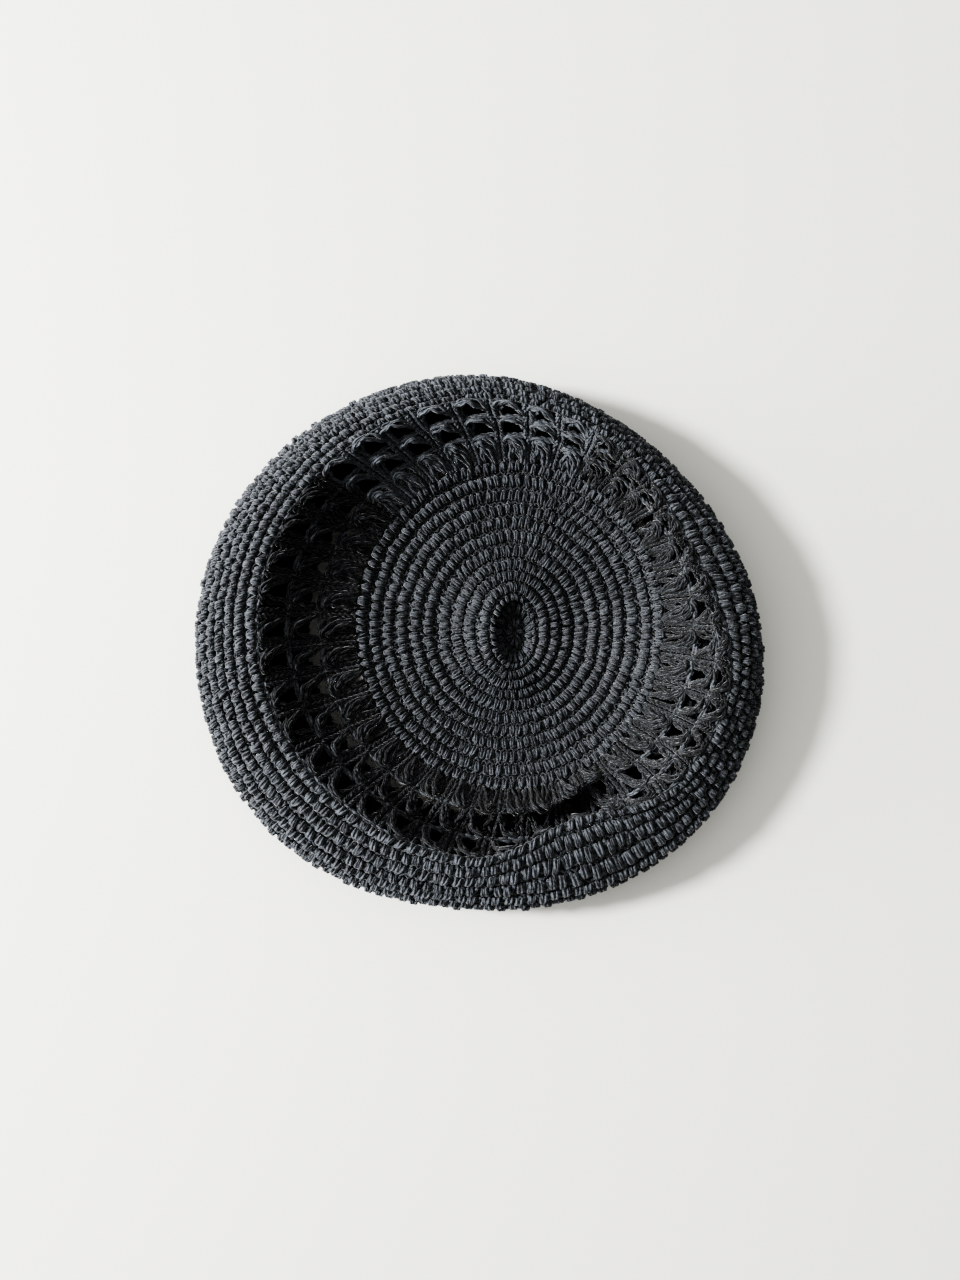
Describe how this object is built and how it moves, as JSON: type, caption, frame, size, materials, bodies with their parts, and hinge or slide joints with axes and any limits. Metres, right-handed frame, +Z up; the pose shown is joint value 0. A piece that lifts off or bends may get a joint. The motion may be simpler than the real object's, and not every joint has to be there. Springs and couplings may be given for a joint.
{
  "type": "crocheted beret",
  "caption": "Soft crocheted beret lying empty: a solid disc crown sunk into the head opening, a wall of open shells, a rolled single-crochet rim and an underside turned in to the head opening.",
  "frame": {"origin": "on the surface that the beret lies on, under the middle of its outline", "axes": "+Z up, out of the sunken top; +X along the longest width; +Y towards the flatter side of the rim"},
  "size_m": [0.2437, 0.2291, 0.0405],
  "materials": {
    "black_cotton": "matte charcoal-black cotton yarn, crocheted, with a faint soft sheen on the lit strands"
  },
  "bodies": {
    "root": {"crown": "black_cotton", "openwork_band": "black_cotton", "rim_band": "black_cotton", "underside_band": "black_cotton"}
  },
  "joints": []
}
